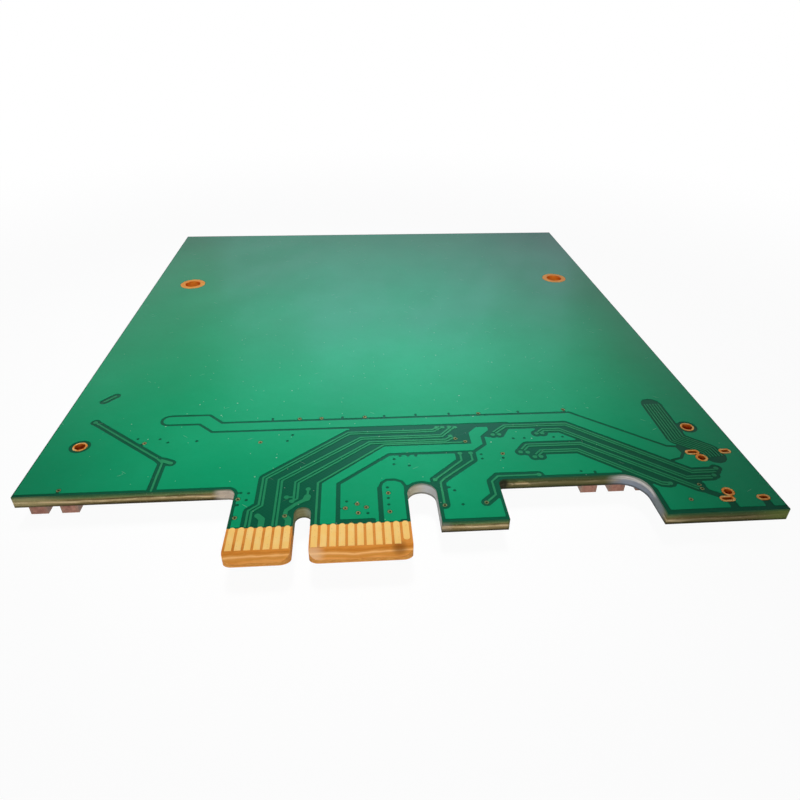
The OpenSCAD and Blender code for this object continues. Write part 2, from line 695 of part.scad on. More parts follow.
// Moulded package body: its sides slope away from a flat band at lead height
module moulded_body(w, d, h) {
    draft = 0.12 * h;
    mid = stand_off + (h - stand_off) / 2;
    band = lead_t / 2 + 0.03;
    intersection() {
        rotate([90, 0, 0]) linear_extrude(d, center = true) moulded_side(w, h, draft, mid, band);
        rotate([90, 0, 90]) linear_extrude(w, center = true) moulded_side(d, h, draft, mid, band);
    }
}

module moulded_side(w, h, draft, mid, band)
    polygon([[-w / 2 + draft, stand_off], [w / 2 - draft, stand_off], [w / 2, mid - band],
        [w / 2, mid + band], [w / 2 - draft, h], [draft - w / 2, h], [-w / 2, mid + band],
        [-w / 2, mid - band]]);

// Gull-wing lead that leaves the body along +X and lands on its pad
module gull_lead(h, reach, foot, w) {
    mid = stand_off + (h - stand_off) / 2;
    knee = (reach - foot) / 2;
    rotate([90, 0, 0])
        linear_extrude(w, center = true)
            polygon([[0, mid + lead_t / 2], [knee + lead_t / 2, mid + lead_t / 2],
                [reach - foot + lead_t, lead_t], [reach, lead_t], [reach, 0],
                [reach - foot, 0], [knee - lead_t / 2, mid - lead_t / 2], [0, mid - lead_t / 2]]);
}

// Positions of a row of leads: count leads along a side that is out from the centre
module lead_places(count, pitch, out, turn)
    rotate([0, 0, turn])
        for (i = [0 : count - 1])
            translate([out, (i - (count - 1) / 2) * pitch, 0]) children();

module lead_pad(reach, foot, w)
    translate([reach - foot - pad_over, -w / 2 - pad_over / 3])
        square([foot + 2 * pad_over, w + 2 * pad_over / 3]);

module pin_one_mark(x, y, h)
    translate([x, y, h - 0.08]) cylinder(h = over, d = 0.8, $fn = big_sides);

// Two-ended chip part: its middle, its plated ends and its pads
chip_end = 0.3;
module chip_body(l, d, h)
    translate([-l / 2 + chip_end, -d / 2, 0]) cube([l - 2 * chip_end, d, h]);
module chip_ends(l, d, h)
    for (x = [-l / 2, l / 2 - chip_end])
        translate([x, -d / 2, 0]) cube([chip_end, d, h]);
module chip_pads(l, d)
    for (side = [-1, 1])
        translate([side * (l / 2 - chip_end / 2), 0])
            square([chip_end + 2 * pad_over, d + pad_over], center = true);

module in_rows(rows)
    for (row = rows)
        for (i = [0 : row[1] - 1])
            mount_below(row[0] + i * row[2]) children();

module plan_rows(rows)
    for (row = rows)
        for (i = [0 : row[1] - 1])
            translate(row[0] + i * row[2]) children();

// ---- Component side: the pieces ----

module edge_capacitors() framed() color([0.66, 0.43, 0.36])
    for (x = edge_cap_xs)
        mount_below([x, cap_front_y]) chip_body(edge_cap_w, edge_cap_d, edge_cap_h);

module edge_capacitor_ends() framed() color([0.72, 0.5, 0.44])
    for (x = edge_cap_xs)
        mount_below([x, cap_front_y]) chip_ends(edge_cap_w, edge_cap_d, edge_cap_h);

controller_pos = [controller_x, controller_y];
controller_lead_w = 0.22;

module controller_body() framed() color([0.1, 0.1, 0.11])
    mount_below(controller_pos)
        difference() {
            moulded_body(controller_w, controller_w, controller_h);
            pin_one_mark(pin_mark_inset - controller_w / 2, pin_mark_inset - controller_w / 2, controller_h);
        }

module controller_leads() framed() color([0.75, 0.75, 0.74])
    mount_below(controller_pos)
        for (turn = [0 : 90 : 270])
            lead_places(controller_leads_side, controller_pitch, controller_w / 2, turn)
                gull_lead(controller_h, lead_reach, lead_foot, controller_lead_w);

memory_pos = [controller_x, memory_y];
memory_lead_w = 0.35;

module memory_body() framed() color([0.11, 0.11, 0.12])
    mount_below(memory_pos)
        difference() {
            moulded_body(memory_l, memory_d, memory_h);
            pin_one_mark(pin_mark_inset - memory_l / 2, pin_mark_inset - memory_d / 2, memory_h);
        }

module memory_leads() framed() color([0.75, 0.75, 0.74])
    mount_below(memory_pos)
        for (turn = [90, 270])
            lead_places(memory_leads_side, memory_pitch, memory_d / 2, turn)
                gull_lead(memory_h, flat_lead_reach, lead_foot, memory_lead_w);

flash_leads_side = 4;
flash_lead_w = 0.42;

module flash_body() framed() color([0.11, 0.11, 0.12])
    mount_below(flash_pos)
        difference() {
            moulded_body(flash_l, flash_d, flash_h);
            pin_one_mark(small_mark_inset - flash_l / 2, small_mark_inset - flash_d / 2, flash_h);
        }

module flash_leads() framed() color([0.75, 0.75, 0.74])
    mount_below(flash_pos)
        for (turn = [90, 270])
            lead_places(flash_leads_side, flash_pitch, flash_d / 2, turn)
                gull_lead(flash_h, lead_reach, lead_foot, flash_lead_w);

crystal_base_h = 0.45;
crystal_lid_inset = 0.25;

module crystal_base() framed() color([0.3, 0.28, 0.26])
    mount_below(crystal_pos)
        translate([-crystal_l / 2, -crystal_d / 2, 0]) cube([crystal_l, crystal_d, crystal_base_h]);

module crystal_lid() framed() color([0.8, 0.79, 0.76])
    mount_below(crystal_pos)
        translate([0, 0, crystal_base_h])
            linear_extrude(crystal_h - crystal_base_h)
                rounded_plan(crystal_l - 2 * crystal_lid_inset, crystal_d - 2 * crystal_lid_inset, 0.4);

module rounded_plan(w, d, r) {
    square([w - 2 * r, d], center = true);
    square([w, d - 2 * r], center = true);
    for (x = [-1, 1])
        for (y = [-1, 1])
            translate([x * (w / 2 - r), y * (d / 2 - r)]) circle(r, $fn = small_sides * 2);
}

// Moulded power inductor: a block with a rounded outline on two wrapped terminals
inductor_foot = 0.15;
module power_inductors() framed() color([0.27, 0.27, 0.28])
    for (p = stages)
        mount_below(p)
            translate([0, 0, inductor_foot])
                linear_extrude(inductor_h - inductor_foot) rounded_plan(inductor_w, inductor_w, 0.5);

module inductor_terminals() framed() color([0.78, 0.77, 0.74])
    for (p = stages)
        mount_below(p)
            for (side = [-1, 1])
                translate([side * (inductor_w - inductor_pad) / 2, 0, inductor_foot / 2])
                    cube([inductor_pad, inductor_w / 2, inductor_foot], center = true);

function bulk_pos(p) = p + [0, inductor_w / 2 + stage_gap + bulk_d / 2];
bulk_end = 0.8;
bulk_lift = 0.15;
module bulk_capacitors() framed() color([0.78, 0.6, 0.2])
    for (p = stages)
        mount_below(bulk_pos(p))
            translate([-bulk_l / 2 + lead_t, -bulk_d / 2, bulk_lift])
                cube([bulk_l - 2 * lead_t, bulk_d, bulk_h - bulk_lift]);

// Flat terminals that wrap from under the body up its ends
module bulk_capacitor_terminals() framed() color([0.78, 0.77, 0.74])
    for (p = stages)
        mount_below(bulk_pos(p))
            for (side = [0, 1])
                mirror([side, 0, 0])
                    rotate([90, 0, 0])
                        linear_extrude(bulk_d / 2, center = true)
                            polygon([[bulk_l / 2 - bulk_end, 0], [bulk_l / 2, 0],
                                [bulk_l / 2, bulk_h / 2], [bulk_l / 2 - lead_t, bulk_h / 2],
                                [bulk_l / 2 - lead_t, bulk_lift], [bulk_l / 2 - bulk_end, bulk_lift]]);

converter_reach = 0.6;
converter_lead_w = 0.4;
function converter_pos(p) = p - [0, inductor_w / 2 + stage_gap + converter_reach + converter_d / 2];
converter_places = [for (p = stages) converter_pos(p)];

module six_lead_bodies(places)
    for (p = places)
        mount_below(p) moulded_body(converter_l, converter_d, converter_h);

module six_lead_feet(places)
    for (p = places)
        mount_below(p)
            for (turn = [90, 270])
                lead_places(3, converter_pitch, converter_d / 2, turn)
                    gull_lead(converter_h, converter_reach, lead_foot - 0.1, converter_lead_w);

module converter_bodies() framed() color([0.12, 0.12, 0.13]) six_lead_bodies(converter_places);
module converter_leads() framed() color([0.75, 0.75, 0.74]) six_lead_feet(converter_places);
module protection_bodies() framed() color([0.12, 0.12, 0.13]) six_lead_bodies(protection_pos);
module protection_leads() framed() color([0.75, 0.75, 0.74]) six_lead_feet(protection_pos);

module ceramic_capacitors() framed() color([0.62, 0.47, 0.33])
    in_rows(cap_rows) chip_body(small_l, small_d, small_cap_h);
module ceramic_capacitor_ends() framed() color([0.78, 0.77, 0.74])
    in_rows(cap_rows) chip_ends(small_l, small_d, small_cap_h);
module resistors() framed() color([0.13, 0.13, 0.14])
    in_rows(resistor_rows) chip_body(small_l, small_d, small_res_h);
module resistor_ends() framed() color([0.78, 0.77, 0.74])
    in_rows(resistor_rows) chip_ends(small_l, small_d, small_res_h);

regulator_reach = 1.6;
regulator_foot = 0.9;
regulator_pitch = 2.3;
regulator_tab_w = 3;
regulator_lead_w = 0.75;

module regulator_body() framed() color([0.12, 0.12, 0.13])
    mount_below(regulator_pos) moulded_body(regulator_l, regulator_d, regulator_h);

module regulator_leads() framed() color([0.75, 0.75, 0.74])
    mount_below(regulator_pos) {
        lead_places(3, regulator_pitch, regulator_d / 2, 270)
            gull_lead(regulator_h, regulator_reach, regulator_foot, regulator_lead_w);
        lead_places(1, 1, regulator_d / 2, 90)
            gull_lead(regulator_h, regulator_reach, regulator_foot, regulator_tab_w);
    }

// ---- Component side: copper ----

module component_pads_plan() {
    for (x = edge_cap_xs)
        translate([x, cap_front_y]) chip_pads(edge_cap_w, edge_cap_d - 2 * pad_over);
    translate(controller_pos)
        for (turn = [0 : 90 : 270])
            lead_places(controller_leads_side, controller_pitch, controller_w / 2, turn)
                lead_pad(lead_reach, lead_foot, controller_lead_w);
    translate(memory_pos)
        for (turn = [90, 270])
            lead_places(memory_leads_side, memory_pitch, memory_d / 2, turn)
                lead_pad(flat_lead_reach, lead_foot, memory_lead_w);
    translate(flash_pos)
        for (turn = [90, 270])
            lead_places(flash_leads_side, flash_pitch, flash_d / 2, turn)
                lead_pad(lead_reach, lead_foot, flash_lead_w);
    for (p = concat(converter_places, protection_pos))
        translate(p)
            for (turn = [90, 270])
                lead_places(3, converter_pitch, converter_d / 2, turn)
                    lead_pad(converter_reach, lead_foot, converter_lead_w);
    translate(regulator_pos) {
        lead_places(3, regulator_pitch, regulator_d / 2, 270)
            lead_pad(regulator_reach, regulator_foot, regulator_lead_w);
        lead_places(1, 1, regulator_d / 2, 90)
            lead_pad(regulator_reach, regulator_foot, regulator_tab_w);
    }
    for (p = stages) {
        for (side = [-1, 1]) {
            translate(p + [side * (inductor_w - inductor_pad) / 2, 0])
                square([inductor_pad + 2 * pad_over, inductor_w / 2 + pad_over], center = true);
            translate(bulk_pos(p) + [side * (bulk_l - bulk_end) / 2, 0])
                square([bulk_end + 2 * pad_over, bulk_d / 2 + pad_over], center = true);
        }
    }
    for (x = [-1, 1])
        for (y = [-1, 1])
            translate(crystal_pos + [x * (crystal_l / 2 - 0.5), y * (crystal_d / 2 - 0.45)])
                square([1.2, 1], center = true);
    plan_rows(cap_rows) chip_pads(small_l, small_d);
    plan_rows(resistor_rows) chip_pads(small_l, small_d);
}

signal_pad_len = 1;
signal_pad_w = 0.24;
signal_pad_x = right_x - 7.35;

module signal_pads_plan()
    for (i = [0 : signal_pads - 1])
        translate([signal_pad_x, shell_mid_y + (i - (signal_pads - 1) / 2) * signal_pitch])
            square([signal_pad_len, signal_pad_w], center = true);

module component_side_pads() framed() color([0.78, 0.74, 0.6])
    under_board() component_pads_plan();

module connector_signal_pads() framed() color([1, 0.8, 0.42])
    under_board() signal_pads_plan();

module component_side_field() framed() color([0.14, 0.61, 0.45])
    under_board()
        offset(r = field_round, $fn = run_sides) offset(delta = -field_round)
            difference() {
                copper_area_plan();
                finger_zone_plan();
                offset(delta = trace_gap / 2) component_pads_plan();
                offset(delta = trace_gap / 2) signal_pads_plan();
                drilled_clearance(trace_gap);
            }

// ---- Assembly ----

laminate();
solder_side_fields();
solder_side_traces();
solder_side_contacts();
component_side_contacts();
component_side_field();
component_side_pads();
connector_signal_pads();
rear_hole_barrels();
front_hole_barrels();
shell_slot_barrels();
peg_hole_barrels();
via_barrels();
edge_capacitors();
edge_capacitor_ends();
controller_body();
controller_leads();
memory_body();
memory_leads();
flash_body();
flash_leads();
crystal_base();
crystal_lid();
power_inductors();
inductor_terminals();
converter_bodies();
converter_leads();
bulk_capacitors();
bulk_capacitor_terminals();
ceramic_capacitors();
ceramic_capacitor_ends();
resistors();
resistor_ends();
regulator_body();
regulator_leads();
protection_bodies();
protection_leads();
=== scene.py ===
import math

import bpy
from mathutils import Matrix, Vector


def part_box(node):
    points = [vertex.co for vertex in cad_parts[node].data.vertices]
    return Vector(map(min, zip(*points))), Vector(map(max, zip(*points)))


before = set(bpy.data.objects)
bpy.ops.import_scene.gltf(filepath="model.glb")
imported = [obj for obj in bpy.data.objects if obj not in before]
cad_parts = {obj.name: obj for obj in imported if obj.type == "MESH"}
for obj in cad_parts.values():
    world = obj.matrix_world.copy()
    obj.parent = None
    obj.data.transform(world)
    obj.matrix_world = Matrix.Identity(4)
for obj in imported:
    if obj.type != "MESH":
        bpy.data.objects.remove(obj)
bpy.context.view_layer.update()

# The row frame is in metres. Textures are placed in millimetres of the same frame.
MM = 0.001

# ---- Places that the finish depends on, in millimetres of the row frame ----

BOARD_LOW, BOARD_HIGH = (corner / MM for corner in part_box("laminate"))
TOP = BOARD_HIGH.z
CONTACT_ENDS, CONTACT_TOPS = (corner.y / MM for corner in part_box("solder_side_contacts"))
TAB_LEFT, TAB_RIGHT = (corner.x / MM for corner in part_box("solder_side_contacts"))
# The mask covers the tops of the contacts a little
MASK_END = CONTACT_TOPS - 0.12
# Middle of the key notch, and the edges beside the tab from left to right
KEY_X = TAB_LEFT + 7.85
FRONT_EDGE = CONTACT_ENDS + 10
HOOK_LEFT = TAB_RIGHT + 3.8
HOOK_RIGHT = HOOK_LEFT + 7.7
LOBE_LEFT = BOARD_HIGH.x - 14.55
# Where the dust lies thickest
HANDLED_AT = (-4, -22, TOP)

# ---- Camera ----

CAMERA_PLACE = (-4.369, -100.239, 53.534)
CAMERA_TURN = (57.543, -0.606, -4.046)
CAMERA_LENS = 28.125
CAMERA_SENSOR = 36

# ---- Studio ----

FLOOR_HALF_M = 3
FIBRES_PER_M = 900
# The floor is nearly all background up to the first distance, and wholly so past the second
SHADOW_END_M = (0.06, 0.2)
SHADOW_FLOOR_SHARE = 0.95
# Brightness of the studio by height, from 0 at the horizon to 1 overhead
DOME_LEVELS = ((0, 0.8), (0.12, 0.45), (0.22, 0.4), (0.32, 0.55), (0.42, 0.48), (0.51, 0.04), (1, 0.02))
DOME_TINT = (0.95, 1, 1.1)
WINDOW_TINT = (0.54, 0.77, 1.22)
WARM_TINT = (1, 0.97, 0.93)
SPOT_RADIUS = 20


def srgb(red, green, blue):
    """A colour given as it looks on a screen, from 0 to 255, as Blender's linear colour."""
    linear = []
    for value in (red, green, blue):
        share = value / 255
        linear.append(share / 12.92 if share <= 0.04045 else ((share + 0.055) / 1.055) ** 2.4)
    return (*linear, 1)


def fill_ramp(node, stops):
    """Gives a colour ramp its stops, each a position from 0 to 1 and a colour."""
    elements = node.color_ramp.elements
    while len(elements) < len(stops):
        elements.new(0.5)
    for element, (position, colour) in zip(elements, stops):
        element.position = position
        element.color = colour


class Look:
    """A material that is built node by node, with its textures placed in millimetres."""

    def __init__(self, name):
        self.material = bpy.data.materials.new(name)
        self.material.use_nodes = True
        self.tree = self.material.node_tree
        self.tree.nodes.clear()
        self.surface = self.add("ShaderNodeBsdfPrincipled")
        output = self.add("ShaderNodeOutputMaterial")
        self.tree.links.new(self.surface.outputs[0], output.inputs[0])
        scale = self.add("ShaderNodeVectorMath")
        scale.operation = "SCALE"
        scale.inputs["Scale"].default_value = 1 / MM
        self.tree.links.new(self.add("ShaderNodeTexCoord").outputs["Object"], scale.inputs[0])
        self.place = scale.outputs[0]
        self.x, self.y, self.z = self.split(self.place)

    def add(self, kind):
        return self.tree.nodes.new(kind)

    def feed(self, socket, value):
        if isinstance(value, bpy.types.NodeSocket):
            self.tree.links.new(value, socket)
        else:
            socket.default_value = value

    def split(self, vector):
        node = self.add("ShaderNodeSeparateXYZ")
        self.feed(node.inputs[0], vector)
        return node.outputs

    def math(self, operation, *values, clamp=False):
        node = self.add("ShaderNodeMath")
        node.operation = operation
        node.use_clamp = clamp
        for socket, value in zip(node.inputs, values):
            self.feed(socket, value)
        return node.outputs[0]

    def times(self, a, b):
        return self.math("MULTIPLY", a, b)

    def plus(self, a, b):
        return self.math("ADD", a, b)

    def mix_value(self, factor, a, b):
        """Number a where factor is 0, number b where it is 1."""
        node = self.add("ShaderNodeMix")
        self.feed(node.inputs[0], factor)
        self.feed(node.inputs[2], a)
        self.feed(node.inputs[3], b)
        return node.outputs[0]

    def ramp(self, value, start, end, low=0.0, high=1.0):
        """low where value is under start, high where it is over end, and smooth between."""
        node = self.add("ShaderNodeMapRange")
        node.interpolation_type = "SMOOTHSTEP"
        self.feed(node.inputs["Value"], value)
        for name, number in (("From Min", start), ("From Max", end), ("To Min", low), ("To Max", high)):
            self.feed(node.inputs[name], number)
        return node.outputs[0]

    def blend(self, factor, a, b):
        """Colour a where factor is 0, colour b where it is 1."""
        node = self.add("ShaderNodeMix")
        node.data_type = "RGBA"
        self.feed(node.inputs[0], factor)
        self.feed(node.inputs[6], a)
        self.feed(node.inputs[7], b)
        return node.outputs[2]

    def bands(self, value, *stops):
        """A colour that runs through stops, each a position from 0 to 1 and a colour."""
        node = self.add("ShaderNodeValToRGB")
        self.feed(node.inputs[0], value)
        fill_ramp(node, stops)
        return node.outputs[0]

    def spread(self, stretch=(1, 1, 1), turn=0.0, shift=(0, 0, 0)):
        """The place in millimetres, turned about Z, then stretched."""
        turned = self.add("ShaderNodeMapping")
        self.feed(turned.inputs["Vector"], self.place)
        turned.inputs["Rotation"].default_value = (0, 0, turn)
        turned.inputs["Location"].default_value = shift
        scaled = self.add("ShaderNodeVectorMath")
        scaled.operation = "MULTIPLY"
        self.feed(scaled.inputs[0], turned.outputs[0])
        scaled.inputs[1].default_value = stretch
        return scaled.outputs[0]

    def noise(self, per_mm, detail=2.0, rough=0.5, vector=None):
        node = self.add("ShaderNodeTexNoise")
        self.feed(node.inputs["Vector"], self.place if vector is None else vector)
        node.inputs["Scale"].default_value = per_mm
        node.inputs["Detail"].default_value = detail
        node.inputs["Roughness"].default_value = rough
        return node.outputs[0]

    def cells(self, per_mm, vector=None):
        """Distance to the nearest scattered point, in cells, and that cell's own random number."""
        node = self.add("ShaderNodeTexVoronoi")
        node.voronoi_dimensions = "2D"
        self.feed(node.inputs["Vector"], self.place if vector is None else vector)
        node.inputs["Scale"].default_value = per_mm
        return node.outputs["Distance"], self.split(node.outputs["Color"])[0]

    def near(self, point, reach, soft):
        """1 within reach of a point, in millimetres, and 0 from soft further out."""
        node = self.add("ShaderNodeVectorMath")
        node.operation = "DISTANCE"
        self.feed(node.inputs[0], self.place)
        node.inputs[1].default_value = point
        return self.ramp(node.outputs["Value"], reach, reach + soft, 1, 0)

    def facing_up(self):
        """1 on a face that looks up or down, and 0 on a wall."""
        normal = self.add("ShaderNodeNewGeometry").outputs["True Normal"]
        return self.ramp(self.math("ABSOLUTE", self.split(normal)[2]), 0.6, 0.7)

    def relief(self, height, depth_mm, normal=None):
        """Bump whose highest point stands depth_mm over its lowest."""
        node = self.add("ShaderNodeBump")
        node.inputs["Strength"].default_value = 1
        node.inputs["Distance"].default_value = depth_mm * MM
        self.feed(node.inputs["Height"], height)
        if normal is not None:
            self.feed(node.inputs["Normal"], normal)
        return node.outputs[0]

    def finish(self, **sockets):
        """Feeds the shader's own sockets by name, with underscores for spaces."""
        for name, value in sockets.items():
            self.feed(self.surface.inputs[name.replace("_", " ")], value)
        return self.material


# ---- Marks that several finishes share ----

DUST = srgb(196, 214, 200)
THREAD_PITCH = 0.52


def specks(look, per_mm, size, share, vector=None):
    """Small round flecks: 1 on a fleck, on that share of scattered places."""
    distance, pick = look.cells(per_mm, vector)
    dot = look.ramp(distance, 0.6 * size, size, 1, 0)
    return look.times(dot, look.ramp(pick, 1 - share, 1 - share + 0.01))


def hairlines(look, turn, share):
    """Short fine scratches that lie at one angle."""
    return specks(look, 0.14, 0.035, share, look.spread((0.45, 7, 1), turn))


def flecks(look):
    """Dust and scratches on the mask, most of it where the board is handled."""
    handled = look.near(HANDLED_AT, 12, 32)
    dust = look.times(specks(look, 0.6, 0.05, 0.14), look.plus(look.times(handled, 0.6), 0.08))
    grit = look.times(specks(look, 0.23, 0.026, 0.14, look.spread(turn=0.6)), look.plus(handled, 0.14))
    scratches = look.plus(hairlines(look, 0.7, 0.1), hairlines(look, -0.5, 0.08))
    return look.math("ADD", look.math("MAXIMUM", dust, grit), look.times(scratches, 0.32), clamp=True)


def weave(look):
    """The glass cloth's threads, which show faintly where no copper backs the mask."""
    angle_per_mm = 2 * math.pi / THREAD_PITCH
    warp = look.math("SINE", look.times(look.x, angle_per_mm))
    weft = look.math("SINE", look.times(look.y, angle_per_mm))
    return look.plus(look.times(look.times(warp, weft), 0.5), 0.5)


# ---- Finishes ----

MASK_SPECULAR = 0.5
BARE_SPECULAR = 0.15
PLATING_SPECULAR = 0.2


def masked_copper(name, dark, mid, light, fleck=0.42):
    """Glossy green mask over copper: cloudy, with an orange-peel skin, dust and fine scratches."""
    look = Look(name)
    clouds = look.noise(0.045, 4, 0.55)
    colour = look.bands(clouds, (0.3, dark), (0.5, mid), (0.72, light))
    mottle = look.noise(1.1, 4, 0.65)
    colour = look.blend(look.ramp(mottle, 0.5, 0.8, 0, 0.3), colour, light)
    colour = look.blend(look.ramp(mottle, 0.5, 0.24, 0, 0.3), colour, dark)
    marks = flecks(look)
    colour = look.blend(look.times(marks, fleck), colour, DUST)
    smear = look.noise(0.09, 3, 0.6, look.spread((1, 0.5, 1), 0.3))
    roughness = look.plus(look.ramp(smear, 0.35, 0.7, 0.2, 0.27), look.times(marks, 0.3))
    skin = look.relief(look.noise(2.6, 2, 0.5), 0.004)
    skin = look.relief(look.noise(0.55, 2, 0.5), 0.012, skin)
    return look.finish(Base_Color=colour, Roughness=roughness, Normal=skin,
                       Specular_IOR_Level=MASK_SPECULAR)


def board_core():
    """Laminate: dark green where mask lies straight on it, bare and tan on the edge tab,
    and cut glass cloth in streaks on its walls."""
    look = Look("board_core")
    flat = look.facing_up()
    masked = mask_cover(look)
    threads = weave(look)
    marks = flecks(look)

    green = look.bands(look.noise(0.05, 3), (0.3, srgb(4, 78, 52)), (0.7, srgb(9, 86, 59)))
    green = look.blend(look.times(threads, 0.14), green, srgb(24, 104, 76))
    green = look.blend(look.times(marks, 0.25), green, DUST)
    bare, grain = bare_tab(look)
    face = look.blend(masked, bare, green)

    wall, fibres = cut_wall(look)
    tab_wall = look.blend(look.ramp(grain, 0.3, 0.7), srgb(236, 152, 66), srgb(250, 178, 88))
    wall = look.blend(masked, tab_wall, wall)
    colour = look.blend(flat, wall, face)

    smear = look.noise(0.09, 3, 0.6)
    gloss = look.plus(look.ramp(smear, 0.35, 0.7, 0.2, 0.28), look.times(marks, 0.2))
    satin = look.ramp(grain, 0.3, 0.7, 0.4, 0.6)
    roughness = look.mix_value(masked, satin, gloss)
    roughness = look.mix_value(flat, 0.75, roughness)
    shine = look.mix_value(look.times(flat, masked), BARE_SPECULAR, MASK_SPECULAR)

    face_relief = look.times(flat, look.plus(look.times(threads, 0.35), look.times(grain, 0.3)))
    wall_relief = look.times(look.math("SUBTRACT", 1, flat), fibres)
    bumps = look.relief(face_relief, 0.006)
    bumps = look.relief(wall_relief, 0.12, bumps)
    return look.finish(Base_Color=colour, Roughness=roughness, Normal=bumps, Specular_IOR_Level=shine)


def mask_cover(look):
    """1 where the laminate has mask on it, 0 on the bare part of the edge tab."""
    wander = look.noise(0.9, 3, 0.6)
    edge = look.plus(look.y, look.times(look.plus(wander, -0.5), 0.1))
    behind = look.ramp(edge, MASK_END - 0.03, MASK_END + 0.03)
    left = look.ramp(look.x, TAB_LEFT - 1.2, TAB_LEFT - 1, 1, 0)
    right = look.ramp(look.x, TAB_RIGHT + 1, TAB_RIGHT + 1.2)
    return look.math("MAXIMUM", behind, look.plus(left, right))


def bare_tab(look):
    """Bare laminate between and below the contacts: its bevel has a long bright streak of painted
    highlight between darker bands, with one brown knock near the right end, and a painted highlight
    at the left end of the right tab."""
    tip = look.ramp(look.y, BOARD_LOW.y, CONTACT_ENDS)
    drift = look.noise(0.5, 3, 0.6, look.spread((0.3, 1, 1)))
    # Painted highlight: the tones step down the bevel to a long bright streak between darker bands
    sheen = look.plus(tip, look.times(look.plus(drift, -0.5), 0.9))
    bare = look.bands(
        sheen, (0.0, srgb(222, 152, 78)), (0.14, srgb(206, 134, 56)), (0.3, srgb(212, 142, 66)),
        (0.46, srgb(236, 184, 118)), (0.58, srgb(212, 142, 66)), (0.78, srgb(194, 116, 38)),
        (1.0, srgb(212, 138, 58)))
    grain = look.noise(5, 3, 0.7, look.spread((0.3, 1.6, 1)))
    bare = look.blend(look.ramp(grain, 0.5, 0.8, 0, 0.35), bare, srgb(232, 168, 88))
    bare = look.blend(look.ramp(grain, 0.45, 0.2, 0, 0.4), bare, srgb(160, 94, 34))
    knock = look.near((TAB_RIGHT - 1.2, CONTACT_ENDS - 0.35, TOP - 0.4), 0.25, 0.9)
    bare = look.blend(look.times(knock, 0.7), bare, srgb(120, 68, 24))
    # Painted highlight at the left end of the right tab, just right of the key notch
    glint = look.near((KEY_X + 1.4, CONTACT_ENDS - 0.7, TOP - 0.5), 0.3, 1.3)
    bare = look.blend(look.times(glint, 0.5), bare, srgb(240, 204, 164))
    return bare, grain


def cut_wall(look):
    """Colour and relief of a routed wall: layers of glass cloth with painted highlight streaks, painted
    highlights on the curved corners, and painted shade in the recess and on the lobe.
    """
    height = look.ramp(look.z, BOARD_LOW.z, BOARD_HIGH.z)
    streaks = look.noise(1, 4, 0.7, look.spread((0.5, 0.5, 9), shift=(7, 3, 1)))
    patches = look.noise(1, 3, 0.6, look.spread((0.3, 0.3, 0.6), shift=(11, 2, 5)))
    speckle = look.noise(4.5, 3, 0.7)

    colour = wall_layers(look, height, streaks)
    colour = wall_fibres(look, colour, height, patches)
    colour = look.blend(look.ramp(speckle, 0.58, 0.76, 0, 0.35), colour, srgb(224, 208, 176))
    colour = look.blend(look.ramp(speckle, 0.42, 0.24, 0, 0.4), colour, srgb(62, 56, 32))
    colour = wall_stretches(look, colour, patches)
    colour = wall_corner_light_and_shade(look, colour, height, streaks)

    # The mask runs a little over the upper edge, and the lower edge is dark
    colour = look.blend(look.ramp(height, 0.92, 0.98, 0, 0.6), colour, srgb(36, 96, 60))
    colour = look.blend(look.ramp(height, 0.09, 0.03, 0, 0.6), colour, srgb(46, 42, 26))
    return colour, look.plus(look.times(streaks, 0.6), look.times(speckle, 0.4))


def wall_layers(look, height, streaks):
    """Layers of cloth and resin from the lower edge to the upper one, which waver along the wall;
    the pale band a third of the way up is a painted highlight.
    """
    waves = look.noise(1, 3, 0.55, look.spread((0.07, 0.07, 1.1)))
    level = look.plus(height, look.times(look.plus(waves, -0.5), 0.5))
    level = look.plus(level, look.times(look.plus(streaks, -0.58), 0.22))
    return look.bands(
        level, (0.02, srgb(86, 74, 40)), (0.14, srgb(150, 130, 82)), (0.34, srgb(200, 172, 122)),
        (0.46, srgb(164, 142, 92)), (0.6, srgb(140, 126, 76)), (0.72, srgb(130, 134, 82)),
        (0.84, srgb(102, 130, 78)), (0.98, srgb(56, 106, 66)))


def wall_fibres(look, colour, height, patches):
    """One bright streak of painted highlight and one dark line that wander along the wall."""
    wander = look.noise(1, 2, 0.5, look.spread((0.11, 0.11, 0), shift=(3, 9, 4)))

    def off_line(swing, base):
        line = look.plus(look.times(wander, swing), base)
        return look.math("ABSOLUTE", look.math("SUBTRACT", line, height))

    # The bright fibre is a painted highlight streak along the wall
    fibre = look.times(look.ramp(off_line(1.1, -0.1), 0.05, 0.15, 1, 0), look.ramp(patches, 0.36, 0.56))
    colour = look.blend(look.times(fibre, 0.85), colour, srgb(240, 214, 166))
    # A dark line lower on the wall
    dark_line = look.times(look.ramp(off_line(0.9, 0.22), 0.03, 0.12, 1, 0), look.ramp(patches, 0.6, 0.42))
    return look.blend(look.times(dark_line, 0.7), colour, srgb(62, 56, 30))


def wall_stretches(look, colour, patches):
    """The recess and the lobe are greener and darkened with painted shade, the right end is greener,
    and the left end is pale.
    """
    # Painted shade on the recess wall and on the lobe wall
    recess = look.times(look.ramp(look.x, HOOK_RIGHT - 0.3, HOOK_RIGHT),
                        look.ramp(look.x, LOBE_LEFT - 4.5, LOBE_LEFT - 3, 1, 0.25))
    recess = look.times(look.times(recess, look.ramp(patches, 0.6, 0.66, 1, 0.2)), 0.7)
    lobe = look.ramp(look.x, LOBE_LEFT, LOBE_LEFT + 3, 0, 0.6)
    right_end = look.ramp(look.x, BOARD_HIGH.x - 5, BOARD_HIGH.x - 0.5, 0, 0.75)
    left_end = look.ramp(look.x, BOARD_LOW.x + 1.5, BOARD_LOW.x + 7, 0.5, 0)
    for share, tone in (
        (recess, srgb(72, 82, 44)),
        (lobe, srgb(66, 68, 30)),
        (right_end, srgb(112, 128, 60)),
        (left_end, srgb(198, 184, 130)),
    ):
        colour = look.blend(share, colour, tone)
    return colour


